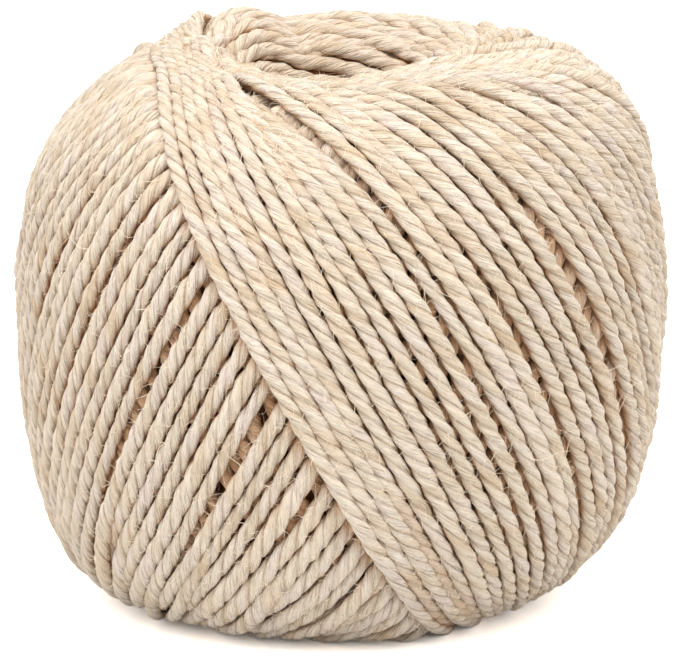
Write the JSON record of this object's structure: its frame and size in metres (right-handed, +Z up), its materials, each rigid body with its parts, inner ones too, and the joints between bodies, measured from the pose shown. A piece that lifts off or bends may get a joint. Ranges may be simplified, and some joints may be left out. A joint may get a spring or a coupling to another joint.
{
  "type": "ball of sisal twine",
  "caption": "Machine-wound ball of plied sisal twine, standing on its flat end, with an open eye right through from which the twine is pulled.",
  "frame": {"origin": "centre of the flat end on which the ball stands", "axes": "+Z up along the eye, -Y towards the side on which the last turns cross to the left of the middle"},
  "size_m": [0.1208, 0.122, 0.104],
  "materials": {
    "sisal": "dry, matt natural fibre, pale straw"
  },
  "bodies": {
    "root": {"wound_twine": "sisal"}
  },
  "joints": []
}
